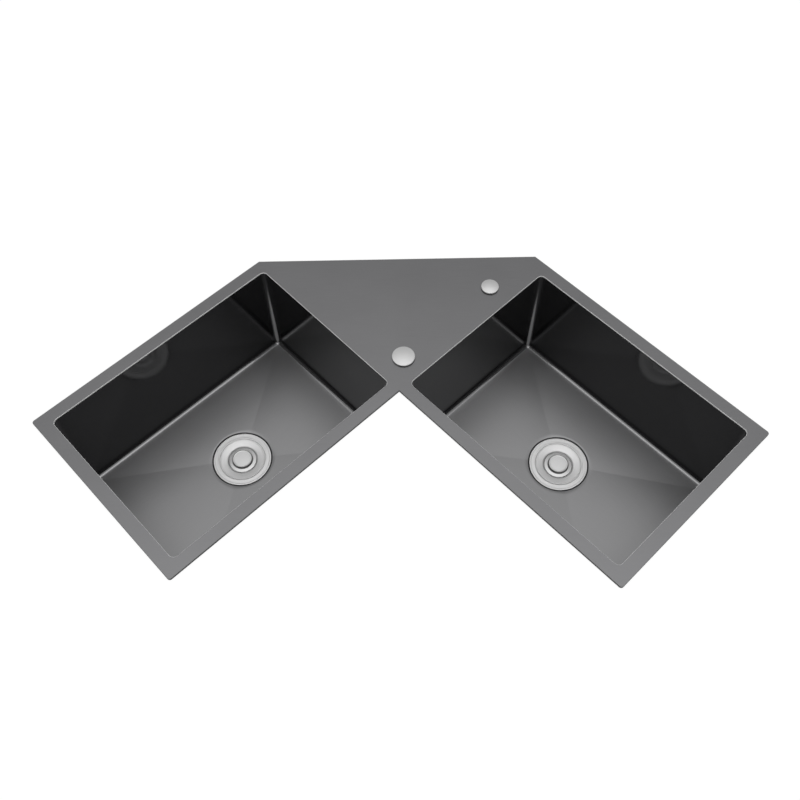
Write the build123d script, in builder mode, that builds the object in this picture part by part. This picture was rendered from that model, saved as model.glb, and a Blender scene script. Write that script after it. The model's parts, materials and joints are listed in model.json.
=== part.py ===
from build123d import *
import os

# A double-bowl kitchen sink for an inside corner of a worktop, in millimetres.
# Two equal wings meet at a right angle. The origin is the tip of the inner corner (the notch),
# on the worktop's surface; +X runs out along the right wing, -Y along the left wing, +Z is up.
# A point on a wing is given as (along, across): along from the notch, across from the front edge.

# ---- deck plate ----
end_rim = 25.6                # bowl's far inside wall to the far end of a wing
back_rim = 24.8               # bowl's inside wall to the back edge of a wing
back_edge_right_end = 36.0    # the slanted back edge meets the right wing this far left of the notch
back_edge_left_end = 7.0      # and the left wing this far behind the notch
deck_thickness = 3.0
outer_corner_radius = 5.0     # the four corners at the wings' far ends
inner_corner_radius = 0.8     # the notch and the two ends of the slanted edge
deck_edge_chamfer = 0.5

# ---- bowls ----
bowl_length = 478.3           # inside, along the wing
bowl_width = 351.0            # inside, across the wing
bowl_from_notch = 1.6         # notch to the bowl's nearest inside wall
bowl_from_front = 24.2        # front edge to the bowl's inside wall
bowl_depth = 235.0            # deck top to the floor, at the walls
bowl_radius = 10.0            # upright corners and the bend from wall to floor
floor_fall = 5.0              # drop of the creased floor from its edge to the drain
crease_meeting = 1.0          # side of the square in the drain hole where the floor's creases meet
bowl_sheet = 1.2
weld_lip = 4.0                # bowl sheet turned out under the deck

# ---- drain and strainer, one in each bowl ----
drain_along = 235.5           # notch to the drain's centre
drain_across = 208.0          # front edge to the drain's centre
drain_hole_radius = 45.0      # 3 1/2 inch hole
flange_radius = 57.0          # 114 mm strainer flange
flange_play = 1.3             # open ring between flange and recess
flange_sheet = 1.0
flange_edge_radius = 0.7
flange_seal_thickness = 1.5
recess_depth = 2.2            # below the lowest point of the creased floor
shelf_radius = 45.5           # step inside the flange that carries the basket
shelf_drop = 1.2
throat_radius = 43.3
cup_radius = 36.0
cup_shoulder_depth = 10.0     # flange top to the cup's straight wall
cup_depth = 42.0              # flange top to the inside of the cup's bottom
cup_hole_radius = 5.0
cup_hole_circle = 13.5
cup_hole_count = 6

# ---- basket and plug ----
seat_gap = 0.3                # between pieces that lift apart
basket_sheet = 0.8
basket_rim_gap = 0.8          # open ring between the basket's rim and the step's wall
basket_rim_width = 1.8
basket_dish_depth = 2.0
basket_bend_radius = 5.0      # under the bend from the dish into the pot
pot_bend_radius = 2.0         # inside the bend from the pot's wall into its floor
pot_radius = 28.0             # outside of the basket's straight wall
pot_depth = 30.0              # flange top to the underside of the pot
pot_slot_count = 20
pot_slot_width = 2.4
pot_slot_height = 14.0
pot_hole_radius = 2.2
pot_hole_circle = 17.0
pot_hole_count = 12
stem_radius = 3.5
stem_fit = 0.1                # radial clearance of the stem in the basket's hub
hub_wall = 3.5
hub_height = 8.0
knob_radius = 19.6
knob_thickness = 3.4
knob_edge_radius = 0.8
knob_rise = 1.8               # flange top to the knob's top
knob_neck_radius = 18.8
knob_neck_height = 1.2
collar_radius = 26.3          # sloping collar under the knob, which shades the pot
collar_fall = 1.6             # of the collar's top, from the neck to its edge
collar_thickness = 2.0
collar_edge_radius = 0.6
plug_travel = 6.0             # how far the knob presses down to close the drain
stopper_radius = 21.0
stopper_plate = 2.0
stopper_lip_width = 3.0
stopper_bore_gap = 0.05

# ---- waste body under the bowl ----
body_seal_thickness = 2.0
body_flange_lap = 8.0         # drain hole's edge to the edge of the flange and its seal
body_flange_thickness = 3.0
body_wall = 2.5
body_gap = 1.2                # between the cup and the body around it
body_floor_gap = 11.0         # between the cup's bottom and the body's cone
body_cone_height = 11.0
outlet_radius = 23.9          # 1 1/2 inch pipe thread, over the crests
outlet_wall = 3.4
outlet_length = 24.0
spider_arm_width = 3.0        # arms that carry the screw's boss across the body
spider_arm_height = 9.0
spider_boss_radius = 6.5
spider_arm_count = 3
screw_radius = 3.0
screw_head_radius = 5.5
screw_head_height = 2.6
screw_edge_radius = 1.0
screw_gap = 0.2
screw_thread_gap = 0.05

# ---- covers over the tap hole and the dispenser hole ----
tap_hole_spot = (-45.7, 54.5)
tap_hole_radius = 17.5
tap_cover_radius = 20.9
dispenser_hole_from_notch = 45.4
dispenser_hole_from_back = 118.2
dispenser_hole_radius = 14.0
dispenser_cover_radius = 16.7
cover_height = 4.6            # of the domed cap above its gasket
cover_skirt = 2.0             # upright edge below the dome
cover_sheet = 1.6
cover_edge_radius = 0.9
gasket_thickness = 1.4
gasket_set_in = 0.8
cover_stud_radius = 3.0
cover_stud_spare = 13.0       # stud past the loosened nut
clamp_overlap = 8.0           # clamp disc past the edge of its hole
clamp_thickness = 2.0
clamp_travel = 10.0           # how far disc and nut run down the stud

# ---- seal, clips and sound pads ----
seal_thickness = 1.0          # pressed thickness; its underside is the worktop's surface
seal_width = 9.0
worktop_thickness = 20.0      # worktop that the clips are set for
stud_set_in = 14.0            # deck edge to the clip stud
stud_radius = 3.0
stud_length = 46.0
clip_end_distance = 105.0     # bowl end to the nearest clip on a long edge
claw_sheet = 2.0
claw_width = 16.0
claw_reach = 13.0             # stud to the outside of the claw's tooth
claw_tooth_height = 9.0
claw_hole_gap = 0.4
thread_gap = 0.1
nut_height = 7.0
nut_hub_radius = 5.5
wing_span = 12.0              # nut's axis to a wing's tip
wing_root = 2.3               # nut's seat to where a wing leaves the hub
wing_shoulder = 5.6           # nut's seat to the top of a wing's tip
wing_rise = 5.0               # wing tip below the hub
wing_sheet = 2.2
pad_thickness = 3.0
pad_height = 110.0
pad_drop = 55.0               # deck underside to the top of a wall pad
pad_end_margin = 60.0
floor_pad_margin = 35.0
floor_pad_drain_gap = 14.0

# ---- sizes and levels worked out from those above ----
wing_length = bowl_from_notch + bowl_length + end_rim
wing_width = bowl_from_front + bowl_width + back_rim
dispenser_hole_spot = (-dispenser_hole_from_notch, wing_width - dispenser_hole_from_back)
deck_under = seal_thickness
deck_top = deck_under + deck_thickness
floor_level = deck_top - bowl_depth
drain_low = floor_level - floor_fall
recess_level = drain_low - recess_depth
recess_radius = flange_radius + flange_play
flange_under = recess_level + flange_seal_thickness
flange_top = flange_under + flange_sheet
cup_floor = flange_top - cup_depth
shelf_level = flange_top - shelf_drop
basket_under = flange_top - pot_depth
body_flange_radius = drain_hole_radius + body_flange_lap
body_seat = recess_level - bowl_sheet - body_seal_thickness
body_inner_radius = cup_radius + flange_sheet + body_gap
body_floor = cup_floor - flange_sheet - body_floor_gap
outlet_top = body_floor - body_cone_height
outlet_end = outlet_top - outlet_length
stopper_top = basket_under - seat_gap
stopper_under = cup_floor + plug_travel + seat_gap
claw_level = -worktop_thickness - claw_tooth_height
claw_tail = bowl_from_front - bowl_sheet - stud_set_in - seat_gap
shelf_outer = shelf_radius + flange_sheet
cup_outer = cup_radius + flange_sheet
throat_outer = throat_radius + flange_sheet
shoulder_level = flange_top - cup_shoulder_depth
basket_rim_radius = shelf_radius - basket_rim_gap
rim_under = shelf_level + seat_gap
rim_top = rim_under + basket_sheet
dish_radius = basket_rim_radius - basket_rim_width
dish_low = rim_top - basket_dish_depth
pot_inner = pot_radius - basket_sheet
pot_floor = basket_under + basket_sheet
slot_middle = (pot_floor + dish_low - basket_sheet) / 2
hub_bore = stem_radius + stem_fit
hub_radius = hub_bore + hub_wall
knob_top = flange_top + knob_rise
knob_under = knob_top - knob_thickness
collar_top = knob_under - knob_neck_height
collar_edge_top = collar_top - collar_fall
collar_under = collar_edge_top - collar_thickness
stem_end = stopper_top - stopper_plate
body_mouth_radius = throat_outer + body_gap
body_shoulder = shoulder_level - body_gap
body_outer = body_inner_radius + body_wall
outlet_inner = outlet_radius - outlet_wall
cap_base = deck_top + gasket_thickness
skirt_top = cap_base + cover_skirt
dome_top = cap_base + cover_height
cap_hollow_top = cap_base + cover_skirt / 2
cover_stud_end = deck_under - clamp_thickness - nut_height - clamp_travel - cover_stud_spare
sides = ("right", "left")


def on_wing(side, along, across):
    """Plan position of a point on a wing; the left wing mirrors the right one over the notch."""
    if side == "right":
        return (along, across)
    return (-across, -along)


def plan_size(side, along, across):
    """Size of a rectangle on a wing, as (X, Y)."""
    if side == "right":
        return (along, across)
    return (across, along)


def bowl_middle(side):
    return on_wing(side, bowl_from_notch + bowl_length / 2, bowl_from_front + bowl_width / 2)


def drain_centre(side):
    return on_wing(side, drain_along, drain_across)


def finish(part, name):
    """Label a finished piece and write it under its name."""
    part.label = name
    export_step(part, f"parts/{name}.step")


os.makedirs("parts", exist_ok=True)

# The deck's outline, once round from the notch, with the radius of each corner.
outline_corners = [
    ((0, 0), inner_corner_radius),
    ((wing_length, 0), outer_corner_radius),
    ((wing_length, wing_width), outer_corner_radius),
    ((-back_edge_right_end, wing_width), inner_corner_radius),
    ((-wing_width, back_edge_left_end), inner_corner_radius),
    ((-wing_width, -wing_length), outer_corner_radius),
    ((0, -wing_length), outer_corner_radius),
]
outline_points = [corner for corner, radius in outline_corners]
outline_radii = [radius for corner, radius in outline_corners]

# ---------------------------------------------------------------- deck plate
with BuildPart() as deck_plate:
    with BuildSketch(Plane.XY.offset(deck_under)):
        with BuildLine():
            FilletPolyline(*outline_points, radius=outline_radii, close=True)
        make_face()
        for side in sides:
            with Locations(bowl_middle(side)):
                RectangleRounded(*plan_size(side, bowl_length, bowl_width), bowl_radius, mode=Mode.SUBTRACT)
        with Locations(tap_hole_spot):
            Circle(tap_hole_radius, mode=Mode.SUBTRACT)
        with Locations(dispenser_hole_spot):
            Circle(dispenser_hole_radius, mode=Mode.SUBTRACT)
    extrude(amount=deck_thickness)
    chamfer(deck_plate.faces().sort_by(Axis.Z)[-1].edges(), deck_edge_chamfer)
finish(deck_plate.part, "deck_plate")

# ---------------------------------------------------------------- seal under the deck's edge
with BuildPart() as worktop_seal:
    with BuildSketch():
        with BuildLine():
            Polyline(*outline_points, close=True)
        make_face()
        offset(amount=-seal_width, kind=Kind.INTERSECTION, mode=Mode.SUBTRACT)
        with BuildLine():
            FilletPolyline(*outline_points, radius=outline_radii, close=True)
        make_face(mode=Mode.INTERSECT)
    extrude(amount=seal_thickness)
finish(worktop_seal.part, "worktop_seal")


# ---------------------------------------------------------------- bowls
def tub(side, skin):
    """The bowl's inside (skin 0) or outside form: a round-edged box on a shallow four-sided funnel."""
    length, width = plan_size(side, bowl_length, bowl_width)
    radius = bowl_radius + skin
    bottom = floor_level - skin
    with BuildPart() as form:
        with BuildSketch(Plane.XY.offset(bottom)):
            with Locations(bowl_middle(side)):
                Rectangle(length + 2 * skin, width + 2 * skin)
        extrude(amount=deck_under - bottom)
        upright_edges = form.edges().filter_by(Axis.Z)
        floor_edges = form.faces().sort_by(Axis.Z)[0].edges()
        fillet(upright_edges + floor_edges, radius)
        with BuildSketch(Plane.XY.offset(bottom)):
            with Locations(bowl_middle(side)):
                Rectangle(length - 2 * bowl_radius, width - 2 * bowl_radius)
        with BuildSketch(Plane.XY.offset(bottom - floor_fall)):
            with Locations(drain_centre(side)):
                Rectangle(crease_meeting, crease_meeting)
        loft(ruled=True)
    return form.part


tub_insides = {side: tub(side, 0) for side in sides}
tub_outsides = {side: tub(side, bowl_sheet) for side in sides}
for side in sides:
    lip_length, lip_width = plan_size(side, bowl_length, bowl_width)
    lip_growth = 2 * (bowl_sheet + weld_lip)
    with BuildPart() as bowl:
        add(tub_outsides[side])
        with BuildSketch(Plane.XY.offset(deck_under)):
            with Locations(bowl_middle(side)):
                RectangleRounded(
                    lip_length + lip_growth, lip_width + lip_growth, bowl_radius + lip_growth / 2
                )
        extrude(amount=-bowl_sheet)
        with BuildSketch(Plane.XY.offset(recess_level - bowl_sheet)):
            with Locations(drain_centre(side)):
                Circle(recess_radius + bowl_sheet)
        extrude(amount=floor_level - recess_level)
        add(tub_insides[side], mode=Mode.SUBTRACT)
        with BuildSketch(Plane.XY.offset(recess_level)):
            with Locations(drain_centre(side)):
                Circle(recess_radius)
        extrude(amount=floor_level - recess_level, mode=Mode.SUBTRACT)
        with BuildSketch(Plane.XY.offset(recess_level)):
            with Locations(drain_centre(side)):
                Circle(drain_hole_radius)
        extrude(amount=-2 * bowl_sheet, mode=Mode.SUBTRACT)
    finish(bowl.part, f"{side}_bowl")


# ---------------------------------------------------------------- strainers
def turned(side, *corners, bends=()):
    """A ring turned about the drain's axis from the (radius, height) corners of its section.

    Each of bends is a corner with the radius that rounds it.
    """
    x, y = drain_centre(side)
    with BuildPart() as ring:
        with BuildSketch(Plane((x, y, 0), x_dir=(1, 0, 0), z_dir=(0, -1, 0))) as section:
            with BuildLine():
                Polyline(*corners, close=True)
            make_face()
            for corner, radius in bends:
                fillet(section.vertices().sort_by_distance(corner)[0], radius)
        revolve(axis=Axis((x, y, 0), (0, 0, 1)))
    return ring.part


for side in sides:
    centre = drain_centre(side)

    # The cup: a flange lying in the bowl's recess, a step for the basket, and a pierced bottom.
    cup_form = turned(
        side,
        (flange_radius, flange_under),
        (flange_radius, flange_top),
        (shelf_radius, flange_top),
        (shelf_radius, shelf_level),
        (throat_radius, shelf_level),
        (cup_radius, shoulder_level),
        (cup_radius, cup_floor),
        (0, cup_floor),
        (0, cup_floor - flange_sheet),
        (cup_outer, cup_floor - flange_sheet),
        (cup_outer, shoulder_level),
        (throat_outer, shelf_level - flange_sheet),
        (shelf_outer, shelf_level - flange_sheet),
        (shelf_outer, flange_under),
    )
    with BuildPart() as strainer_cup:
        add(cup_form)
        rim = strainer_cup.edges().filter_by(GeomType.CIRCLE).group_by(Axis.Z)[-1].sort_by(SortBy.RADIUS)[-1]
        fillet(rim, flange_edge_radius)
        with BuildSketch(Plane.XY.offset(cup_floor)):
            with Locations(centre):
                Circle(screw_radius + screw_gap)
                with PolarLocations(cup_hole_circle, cup_hole_count):
                    Circle(cup_hole_radius)
        extrude(amount=-2 * flange_sheet, mode=Mode.SUBTRACT)
    finish(strainer_cup.part, f"{side}_strainer_cup")

    with BuildPart() as flange_seal:
        with BuildSketch(Plane.XY.offset(recess_level)):
            with Locations(centre):
                Circle(flange_radius)
                Circle(shelf_outer + seat_gap, mode=Mode.SUBTRACT)
        extrude(amount=flange_seal_thickness)
    finish(flange_seal.part, f"{side}_flange_seal")

    with BuildPart() as body_seal:
        with BuildSketch(Plane.XY.offset(body_seat)):
            with Locations(centre):
                Circle(body_flange_radius)
                Circle(drain_hole_radius + seat_gap, mode=Mode.SUBTRACT)
        extrude(amount=body_seal_thickness)
    finish(body_seal.part, f"{side}_body_seal")

    # The basket: a rim on the cup's step, a shallow dish and a slotted pot with a hub for the stem.
    basket_form = turned(
        side,
        (basket_rim_radius, rim_under),
        (basket_rim_radius, rim_top),
        (dish_radius, rim_top),
        (pot_inner, dish_low),
        (pot_inner, pot_floor),
        (hub_radius, pot_floor),
        (hub_radius, pot_floor + hub_height),
        (hub_bore, pot_floor + hub_height),
        (hub_bore, basket_under),
        (pot_radius, basket_under),
        (pot_radius, dish_low - basket_sheet),
        (dish_radius, rim_under),
        bends=[
            ((pot_inner, dish_low), basket_bend_radius + basket_sheet),
            ((pot_radius, dish_low - basket_sheet), basket_bend_radius),
            ((pot_inner, pot_floor), pot_bend_radius),
            ((pot_radius, basket_under), pot_bend_radius + basket_sheet),
        ],
    )
    with BuildPart() as basket:
        add(basket_form)
        with BuildSketch(Plane.XY.offset(slot_middle - pot_slot_height / 2)):
            with Locations(centre):
                with PolarLocations(pot_radius, pot_slot_count):
                    Rectangle(4 * basket_sheet, pot_slot_width)
        extrude(amount=pot_slot_height, mode=Mode.SUBTRACT)
        with BuildSketch(Plane.XY.offset(pot_floor)):
            with Locations(centre):
                with PolarLocations(pot_hole_circle, pot_hole_count):
                    Circle(pot_hole_radius)
        extrude(amount=-2 * basket_sheet, mode=Mode.SUBTRACT)
    finish(basket.part, f"{side}_basket")

    # The plug: knob with its collar, stem, and the rubber stopper that closes the cup's bottom.
    knob_form = turned(
        side,
        (0, knob_top),
        (knob_radius, knob_top),
        (knob_radius, knob_under),
        (knob_neck_radius, knob_under),
        (knob_neck_radius, collar_top),
        (collar_radius, collar_edge_top),
        (collar_radius, collar_under),
        (stem_radius, collar_under),
        (stem_radius, collar_edge_top),
        (0, collar_edge_top),
        bends=[
            ((knob_radius, knob_top), knob_edge_radius),
            ((collar_radius, collar_edge_top), collar_edge_radius),
            ((collar_radius, collar_under), collar_edge_radius),
        ],
    )
    with BuildPart() as knob:
        add(knob_form)
    finish(knob.part, f"{side}_knob")

    with BuildPart() as stem:
        with BuildSketch(Plane.XY.offset(stem_end)):
            with Locations(centre):
                Circle(stem_radius)
        extrude(amount=collar_edge_top - stem_end)
    finish(stem.part, f"{side}_stem")

    stopper_form = turned(
        side,
        (stem_radius + stopper_bore_gap, stem_end),
        (stem_radius + stopper_bore_gap, stopper_top),
        (stopper_radius - stopper_plate / 2, stopper_top),
        (stopper_radius, stem_end),
        (stopper_radius, stopper_under),
        (stopper_radius - stopper_lip_width, stopper_under),
        (stopper_radius - stopper_lip_width, stem_end),
    )
    with BuildPart() as stopper:
        add(stopper_form)
    finish(stopper.part, f"{side}_stopper")

    # The waste body: a flange under the bowl, a shell round the cup, the outlet and the screw's boss.
    body_form = turned(
        side,
        (body_mouth_radius, body_seat),
        (body_flange_radius, body_seat),
        (body_flange_radius, body_seat - body_flange_thickness),
        (body_mouth_radius + body_wall / 2, body_seat - body_flange_thickness),
        (body_outer, body_shoulder - body_flange_thickness / 2),
        (body_outer, body_floor),
        (outlet_radius, outlet_top),
        (outlet_radius, outlet_end),
        (outlet_inner, outlet_end),
        (outlet_inner, outlet_top),
        (body_inner_radius, body_floor),
        (body_inner_radius, body_shoulder),
    )
    with BuildPart() as waste_body:
        add(body_form)
        with BuildSketch(Plane.XY.offset(body_floor)):
            with Locations(centre):
                Circle(spider_boss_radius)
                with PolarLocations(body_inner_radius / 2, spider_arm_count):
                    Rectangle(body_inner_radius + body_wall, spider_arm_width)
        extrude(amount=spider_arm_height)
        with BuildSketch(Plane.XY.offset(body_floor)):
            with Locations(centre):
                Circle(screw_radius + screw_thread_gap)
        extrude(amount=spider_arm_height, mode=Mode.SUBTRACT)
    finish(waste_body.part, f"{side}_waste_body")

    with BuildPart() as clamp_screw:
        with BuildSketch(Plane.XY.offset(cup_floor)):
            with Locations(centre):
                Circle(screw_head_radius)
        extrude(amount=screw_head_height)
        fillet(clamp_screw.edges().filter_by(GeomType.CIRCLE).group_by(Axis.Z)[-1], screw_edge_radius)
        with BuildSketch(Plane.XY.offset(cup_floor)):
            with Locations(centre):
                Circle(screw_radius)
        extrude(amount=body_floor - cup_floor)
    finish(clamp_screw.part, f"{side}_clamp_screw")


# ---------------------------------------------------------------- hole covers
def wing_nut(bore_radius):
    """A wing nut about the Z axis, its seat at z = 0 and its wings below, along Y."""
    with BuildPart() as nut:
        with BuildSketch():
            Circle(nut_hub_radius)
        extrude(amount=-nut_height)
        with BuildSketch(Plane.YZ):
            for way in (1, -1):
                with BuildLine():
                    Polyline(
                        (0, -wing_root),
                        (way * wing_span, -wing_shoulder),
                        (way * wing_span, -nut_height - wing_rise),
                        (way * (wing_span - wing_rise), -nut_height - wing_rise),
                        (0, -nut_height),
                        close=True,
                    )
                make_face()
        extrude(amount=wing_sheet / 2, both=True)
        with BuildSketch():
            Circle(bore_radius)
        extrude(amount=-2 * nut_height, mode=Mode.SUBTRACT)
    return nut.part


cover_nut = wing_nut(cover_stud_radius + thread_gap)
covers = [
    ("tap_hole", tap_hole_spot, tap_hole_radius, tap_cover_radius),
    ("dispenser_hole", dispenser_hole_spot, dispenser_hole_radius, dispenser_cover_radius),
]
for hole, spot, hole_radius, cover_radius in covers:
    x, y = spot
    dome_radius = cover_radius - cover_edge_radius
    dome_base = skirt_top + cover_edge_radius

    # The cap: a domed cap with an upright skirt, hollow below, and a stud through the hole.
    with BuildPart() as cap:
        with BuildSketch(Plane((x, y, 0), x_dir=(1, 0, 0), z_dir=(0, -1, 0))):
            with BuildLine():
                Polyline(
                    (0, dome_top),
                    (0, cover_stud_end),
                    (cover_stud_radius, cover_stud_end),
                    (cover_stud_radius, cap_hollow_top),
                    (cover_radius - cover_sheet, cap_hollow_top),
                    (cover_radius - cover_sheet, cap_base),
                    (cover_radius, cap_base),
                    (cover_radius, skirt_top),
                )
                TangentArc((cover_radius, skirt_top), (dome_radius, dome_base), tangent=(0, 1))
                TangentArc((0, dome_top), (dome_radius, dome_base), tangent=(1, 0))
            make_face()
        revolve(axis=Axis((x, y, 0), (0, 0, 1)))
    finish(cap.part, f"{hole}_cap")

    with BuildPart() as gasket:
        with BuildSketch(Plane.XY.offset(deck_top)):
            with Locations(spot):
                Circle(cover_radius - gasket_set_in)
                Circle(hole_radius, mode=Mode.SUBTRACT)
        extrude(amount=gasket_thickness)
    finish(gasket.part, f"{hole}_gasket")

    with BuildPart() as clamp_disc:
        with BuildSketch(Plane.XY.offset(deck_under)):
            with Locations(spot):
                Circle(hole_radius + clamp_overlap)
                Circle(cover_stud_radius + seat_gap, mode=Mode.SUBTRACT)
        extrude(amount=-clamp_thickness)
    finish(clamp_disc.part, f"{hole}_clamp_disc")

    with BuildPart() as cover_wing_nut:
        with Locations((x, y, deck_under - clamp_thickness)):
            add(cover_nut)
    finish(cover_wing_nut.part, f"{hole}_wing_nut")


# ---------------------------------------------------------------- clips
def edge_spot(start, end, distance, inside):
    """Stud position and outward direction at a distance along an edge; inside is a point of the deck."""
    start = Vector(*start, 0)
    along = (Vector(*end, 0) - start).normalized()
    outward = along.cross(Vector(0, 0, 1))
    if (Vector(*inside, 0) - start).dot(outward) > 0:
        outward = -outward
    return (start + along * distance - outward * stud_set_in, outward)


clip_spots = []
near_clip = bowl_from_notch + clip_end_distance
far_clip = bowl_from_notch + bowl_length - clip_end_distance
for side in sides:
    front_start = on_wing(side, 0, 0)
    front_end = on_wing(side, wing_length, 0)
    back_start = on_wing(side, 0, wing_width)
    back_end = on_wing(side, wing_length, wing_width)
    for start, end, distance in [
        (front_start, front_end, near_clip),
        (front_start, front_end, far_clip),
        (front_end, back_end, wing_width / 2),
        (back_start, back_end, near_clip),
        (back_start, back_end, far_clip),
    ]:
        clip_spots.append(edge_spot(start, end, distance, bowl_middle(side)))
back_right = (-back_edge_right_end, wing_width)
back_left = (-wing_width, back_edge_left_end)
back_length = (Vector(*back_left) - Vector(*back_right)).length
for share in (1 / 4, 3 / 4):
    clip_spots.append(edge_spot(back_right, back_left, back_length * share, (0, 0)))

with BuildPart() as clip_studs:
    for spot, outward in clip_spots:
        with BuildSketch(Plane((spot.X, spot.Y, deck_under))):
            Circle(stud_radius)
        extrude(amount=-stud_length)
finish(clip_studs.part, "clip_studs")

with BuildPart() as clip_claws:
    for spot, outward in clip_spots:
        side_plane = Plane((spot.X, spot.Y, claw_level), x_dir=outward, z_dir=outward.cross(Vector(0, 0, 1)))
        with BuildSketch(side_plane):
            with BuildLine():
                Polyline(
                    (-claw_tail, 0),
                    (claw_reach - claw_sheet, 0),
                    (claw_reach - claw_sheet, claw_tooth_height),
                    (claw_reach, claw_tooth_height),
                    (claw_reach, -claw_sheet),
                    (-claw_tail, -claw_sheet),
                    close=True,
                )
            make_face()
        extrude(amount=claw_width / 2, both=True)
    for spot, outward in clip_spots:
        with BuildSketch(Plane((spot.X, spot.Y, claw_level + claw_sheet))):
            Circle(stud_radius + claw_hole_gap)
        extrude(amount=-3 * claw_sheet, mode=Mode.SUBTRACT)
finish(clip_claws.part, "clip_claws")

clip_nut = wing_nut(stud_radius + thread_gap)
with BuildPart() as clip_wing_nuts:
    for spot, outward in clip_spots:
        seat = Plane((spot.X, spot.Y, claw_level - claw_sheet), x_dir=outward, z_dir=(0, 0, 1))
        with Locations(seat):
            add(clip_nut)
finish(clip_wing_nuts.part, "clip_wing_nuts")

# ---------------------------------------------------------------- sound pads
for side in sides:
    x, y = bowl_middle(side)
    length, width = plan_size(side, bowl_length, bowl_width)
    side_pad_offset = (length + pad_thickness) / 2 + bowl_sheet
    end_pad_offset = (width + pad_thickness) / 2 + bowl_sheet

    # A layer of one thickness under the creased floor, with room round the drain.
    with BuildPart() as floor_pad:
        with BuildSketch(Plane.XY.offset(floor_level)):
            with Locations((x, y)):
                Rectangle(length - 2 * floor_pad_margin, width - 2 * floor_pad_margin)
            with Locations(drain_centre(side)):
                Circle(recess_radius + floor_pad_drain_gap, mode=Mode.SUBTRACT)
        extrude(amount=-(bowl_sheet + floor_fall + pad_thickness))
        with Locations((0, 0, -pad_thickness)):
            add(tub_outsides[side], mode=Mode.INTERSECT)
        add(tub_outsides[side], mode=Mode.SUBTRACT)

    with BuildPart() as sound_pads:
        add(floor_pad.part)
        with BuildSketch(Plane.XY.offset(deck_under - pad_drop)):
            with Locations((x - side_pad_offset, y), (x + side_pad_offset, y)):
                Rectangle(pad_thickness, width - 2 * pad_end_margin)
            with Locations((x, y - end_pad_offset), (x, y + end_pad_offset)):
                Rectangle(length - 2 * pad_end_margin, pad_thickness)
        extrude(amount=-pad_height)
    finish(sound_pads.part, f"{side}_sound_pads")
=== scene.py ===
# %% [markdown]
# # A dark steel corner sink
# The sink's pressed and machined parts come from a solid model, packed as a fixed frame. This
# lesson dresses them: it sets a camera and a soft studio, writes a finish for every metal, rubber
# and plastic, and builds the small turned and threaded parts again with the roundings that a press
# or a lathe leaves.

# %% Load the frame
import json
import math

import bmesh
import bpy
import numpy as np
from mathutils import Matrix, Vector


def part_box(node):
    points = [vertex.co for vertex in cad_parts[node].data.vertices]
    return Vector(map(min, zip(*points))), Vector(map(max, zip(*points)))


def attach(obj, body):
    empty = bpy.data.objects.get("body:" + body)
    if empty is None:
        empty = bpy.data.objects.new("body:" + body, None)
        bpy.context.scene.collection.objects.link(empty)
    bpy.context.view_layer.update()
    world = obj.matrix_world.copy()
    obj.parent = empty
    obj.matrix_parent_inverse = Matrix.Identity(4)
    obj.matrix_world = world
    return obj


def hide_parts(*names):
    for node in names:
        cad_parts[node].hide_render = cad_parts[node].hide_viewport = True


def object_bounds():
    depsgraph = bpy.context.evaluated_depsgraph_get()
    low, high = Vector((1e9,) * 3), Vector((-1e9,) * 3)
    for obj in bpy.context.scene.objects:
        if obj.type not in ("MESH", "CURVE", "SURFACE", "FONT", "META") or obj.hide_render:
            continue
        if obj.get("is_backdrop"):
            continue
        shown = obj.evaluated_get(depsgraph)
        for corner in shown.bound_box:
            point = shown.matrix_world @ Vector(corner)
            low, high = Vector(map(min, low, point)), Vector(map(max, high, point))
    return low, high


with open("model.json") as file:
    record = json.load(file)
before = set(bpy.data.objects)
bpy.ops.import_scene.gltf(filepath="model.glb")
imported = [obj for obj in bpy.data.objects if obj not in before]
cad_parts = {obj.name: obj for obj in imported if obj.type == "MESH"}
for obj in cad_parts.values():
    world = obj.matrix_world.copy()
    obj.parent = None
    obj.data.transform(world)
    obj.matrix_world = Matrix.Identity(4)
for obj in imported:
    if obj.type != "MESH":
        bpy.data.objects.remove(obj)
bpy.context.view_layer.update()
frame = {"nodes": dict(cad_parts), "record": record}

nodes = frame["nodes"]
sides = ("left", "right")
holes = ("tap_hole", "dispenser_hole")

# %% [markdown]
# The camera stands in front of the inner corner, to the right, and looks down at about 59 degrees.
# A camera could be aimed by a constraint, but a matrix says it all in one line: turn about the
# upright axis, tip, roll.

# %% Camera
aim, distance = Vector((0.01486, -0.01241, 0.004)), 1.63148
azimuth, elevation, roll = math.radians(46.823), math.radians(59.405), math.radians(-0.747)
turn = (
    Matrix.Rotation(azimuth, 4, "Z")
    @ Matrix.Rotation(math.pi / 2 - elevation, 4, "X")
    @ Matrix.Rotation(roll, 4, "Z")
)
camera_data = bpy.data.cameras.new("camera")
camera_data.lens, camera_data.sensor_width = 41.632, 36.0
camera_data.clip_start, camera_data.clip_end = 0.05, 50.0
camera = bpy.data.objects.new("camera", camera_data)
camera.matrix_world = Matrix.Translation(aim + turn.to_3x3() @ Vector((0, 0, distance))) @ turn
bpy.context.scene.collection.objects.link(camera)
bpy.context.scene.camera = camera
bpy.context.scene.view_settings.view_transform = "Standard"
print("camera at", [round(v, 3) for v in camera.matrix_world.translation])

# %% [markdown]
# A finish is a small graph of shader nodes. Wiring nodes by hand takes many lines, so one class
# wraps a socket and lets Python's own arithmetic add the Math nodes, and one method adds a node of
# any other type.


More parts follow.
